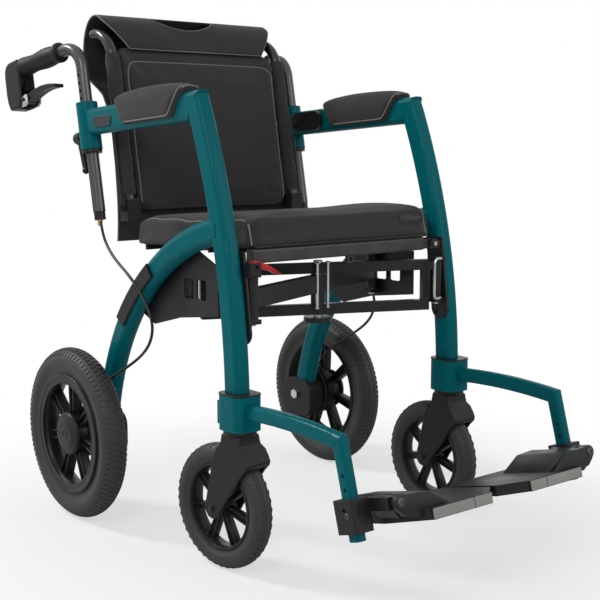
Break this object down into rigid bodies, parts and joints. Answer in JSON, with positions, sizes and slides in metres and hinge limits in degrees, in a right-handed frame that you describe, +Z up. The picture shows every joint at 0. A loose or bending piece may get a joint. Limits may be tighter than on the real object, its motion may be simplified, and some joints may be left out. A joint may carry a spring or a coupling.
{
  "type": "rollator transport chair",
  "caption": "Four-wheeled rollator with curved front legs and arched rear tubes, fitted as a transport chair with padded seat, fold-back backrest, push handles with brakes and flip-up footplates",
  "frame": {"origin": "On the floor under the middle of the whole chair.", "axes": "X runs across the chair with the sitter's left at +X. Y runs front to rear with the sitter facing -Y. Z is up."},
  "size_m": [0.63, 1.0335, 0.8929],
  "materials": {
    "frame_paint": "gloss petrol-green enamel",
    "hoop_grey": "grey anodised tube",
    "bracket_grey": "satin grey",
    "dark_metal": "satin black",
    "steel": "bright plated steel",
    "plastic": "fine-grained black",
    "grip_rubber": "soft matt",
    "cable_sleeve": "smooth black sleeve",
    "tyre": "dark grey solid rubber",
    "upholstery": "coated black fabric with light piping",
    "latch_red": "red moulding"
  },
  "bodies": {
    "frame": {"front_leg_left": "frame_paint", "front_leg_right": "frame_paint", "arm_tubes": "frame_paint", "rear_arch_left": "frame_paint", "rear_arch_right": "frame_paint", "handle_clamps": "frame_paint", "clamp_bushes": "plastic", "arm_pad_left": "upholstery", "arm_pad_right": "upholstery", "leg_brackets": "dark_metal", "arch_brackets": "plastic", "brace_arm": "dark_metal", "brace_rails": "dark_metal", "brace_pins": "steel", "axle_blocks": "plastic", "rear_axles": "steel", "brake_plates": "plastic", "cable_covers": "plastic", "brake_cable_left": "cable_sleeve", "brake_cable_right": "cable_sleeve", "leg_sockets": "frame_paint", "socket_seals": "plastic", "footrest_tubes": "frame_paint", "seat_pivot_pins": "steel", "back_hoop": "hoop_grey", "back_pad": "upholstery", "back_sleeves": "upholstery", "top_band": "upholstery", "back_boxes": "dark_metal", "arm_hooks": "plastic"},
    "seat": {"seat_bar": "bracket_grey", "seat_pan": "plastic", "seat_cushion": "upholstery"},
    "latch": {"seat_latch": "latch_red"},
    "rear_wheel_left": {"rear_tyre_left": "tyre", "rear_rim_left": "plastic"},
    "caster_fork_left": {"caster_fork_left": "plastic"},
    "caster_wheel_left": {"caster_tyre_left": "tyre", "caster_rim_left": "plastic"},
    "cable_plug_left": {"cable_plug_left": "plastic"},
    "handle_left": {"handle_tube_left": "hoop_grey", "hand_grip_left": "grip_rubber"},
    "brake_lever_left": {"brake_lever_left": "plastic"},
    "brake_arm_left": {"brake_arm_left": "steel"},
    "clamp_lever_left": {"clamp_lever_left": "plastic"},
    "foot_clamp_left": {"foot_clamp_left": "plastic"},
    "footplate_left": {"footplate_left": "plastic"},
    "rear_wheel_right": {"rear_tyre_right": "tyre", "rear_rim_right": "plastic"},
    "caster_fork_right": {"caster_fork_right": "plastic"},
    "caster_wheel_right": {"caster_tyre_right": "tyre", "caster_rim_right": "plastic"},
    "cable_plug_right": {"cable_plug_right": "plastic"},
    "handle_right": {"handle_tube_right": "hoop_grey", "hand_grip_right": "grip_rubber"},
    "brake_lever_right": {"brake_lever_right": "plastic"},
    "brake_arm_right": {"brake_arm_right": "steel"},
    "clamp_lever_right": {"clamp_lever_right": "plastic"},
    "foot_clamp_right": {"foot_clamp_right": "plastic"},
    "footplate_right": {"footplate_right": "plastic"}
  },
  "joints": [
    {"name": "rear_wheel_spin_left", "type": "hinge", "parent": "frame", "child": "rear_wheel_left", "pos_m": [0.291, 0.235, 0.152], "axis": [1, 0, 0], "continuous": true},
    {"name": "caster_swivel_left", "type": "hinge", "parent": "frame", "child": "caster_fork_left", "pos_m": [0.23, -0.177, 0.24], "axis": [0, 0, 1], "continuous": true},
    {"name": "caster_spin_left", "type": "hinge", "parent": "caster_fork_left", "child": "caster_wheel_left", "pos_m": [0.23, -0.139, 0.1], "axis": [1, 0, 0], "continuous": true},
    {"name": "handle_height_left", "type": "slide", "parent": "frame", "child": "cable_plug_left", "axis": [0, 0.1908, 0.9816], "range_m": [-0.04, 0.09], "deforming": ["brake_cable_left"]},
    {"name": "handle_turn_left", "type": "hinge", "parent": "cable_plug_left", "child": "handle_left", "pos_m": [0.232, 0.268, 0.692], "axis": [0, -0.1908, -0.9816], "range_deg": [0, 180]},
    {"name": "brake_lever_left", "type": "hinge", "parent": "handle_left", "child": "brake_lever_left", "pos_m": [0.25552, 0.44831, 0.74252], "axis": [-0.9903, 0.1366, -0.0266], "range_deg": [-12, 16], "stiffness_Nm_per_rad": 1.2},
    {"name": "brake_arm_left", "type": "hinge", "parent": "frame", "child": "brake_arm_left", "pos_m": [0.257, 0.244, 0.176], "axis": [-1, 0, 0], "range_deg": [-8, 10]},
    {"name": "clamp_lever_left", "type": "hinge", "parent": "frame", "child": "clamp_lever_left", "pos_m": [0.232, 0.29478, 0.67253], "axis": [0, -0.9816, 0.1908], "range_deg": [0, 90]},
    {"name": "footplate_height_left", "type": "slide", "parent": "frame", "child": "foot_clamp_left", "axis": [0, 0.2756, 0.9613], "range_m": [0, 0.04]},
    {"name": "footplate_flip_left", "type": "hinge", "parent": "foot_clamp_left", "child": "footplate_left", "pos_m": [0.203, -0.462, 0.178], "axis": [0, 0.9703, -0.2419], "range_deg": [0, 93]},
    {"name": "rear_wheel_spin_right", "type": "hinge", "parent": "frame", "child": "rear_wheel_right", "pos_m": [-0.291, 0.235, 0.152], "axis": [1, 0, 0], "continuous": true},
    {"name": "caster_swivel_right", "type": "hinge", "parent": "frame", "child": "caster_fork_right", "pos_m": [-0.23, -0.177, 0.24], "axis": [0, 0, 1], "continuous": true},
    {"name": "caster_spin_right", "type": "hinge", "parent": "caster_fork_right", "child": "caster_wheel_right", "pos_m": [-0.23463, -0.13928, 0.1], "axis": [0.9925, 0.1219, 0], "continuous": true},
    {"name": "handle_height_right", "type": "slide", "parent": "frame", "child": "cable_plug_right", "axis": [0, 0.1908, 0.9816], "range_m": [-0.04, 0.09], "deforming": ["brake_cable_right"]},
    {"name": "handle_turn_right", "type": "hinge", "parent": "cable_plug_right", "child": "handle_right", "pos_m": [-0.232, 0.268, 0.692], "axis": [0, 0.1908, 0.9816], "range_deg": [0, 180]},
    {"name": "brake_lever_right", "type": "hinge", "parent": "handle_right", "child": "brake_lever_right", "pos_m": [-0.25552, 0.44831, 0.74252], "axis": [-0.9903, -0.1366, 0.0266], "range_deg": [-12, 16], "stiffness_Nm_per_rad": 1.2},
    {"name": "brake_arm_right", "type": "hinge", "parent": "frame", "child": "brake_arm_right", "pos_m": [-0.257, 0.244, 0.176], "axis": [-1, 0, 0], "range_deg": [-8, 10]},
    {"name": "clamp_lever_right", "type": "hinge", "parent": "frame", "child": "clamp_lever_right", "pos_m": [-0.232, 0.29478, 0.67253], "axis": [0, 0.9816, -0.1908], "range_deg": [0, 90]},
    {"name": "footplate_height_right", "type": "slide", "parent": "frame", "child": "foot_clamp_right", "axis": [0, 0.2756, 0.9613], "range_m": [0, 0.04]},
    {"name": "footplate_flip_right", "type": "hinge", "parent": "foot_clamp_right", "child": "footplate_right", "pos_m": [-0.203, -0.462, 0.178], "axis": [0, -0.9703, 0.2419], "range_deg": [0, 93]},
    {"name": "seat_flip", "type": "hinge", "parent": "frame", "child": "seat", "pos_m": [0.197, -0.088, 0.49], "axis": [0, 1, 0], "range_deg": [0, 70], "deforming": ["seat_cushion"]},
    {"name": "seat_latch", "type": "hinge", "parent": "frame", "child": "latch", "pos_m": [-0.204, -0.175, 0.477], "axis": [0, -1, 0], "range_deg": [0, 18], "stiffness_Nm_per_rad": 0.6}
  ],
  "couplings": [
    {"joint": "brake_arm_left", "follows": "brake_lever_left", "ratio": 0.6},
    {"joint": "brake_arm_right", "follows": "brake_lever_right", "ratio": 0.6}
  ]
}
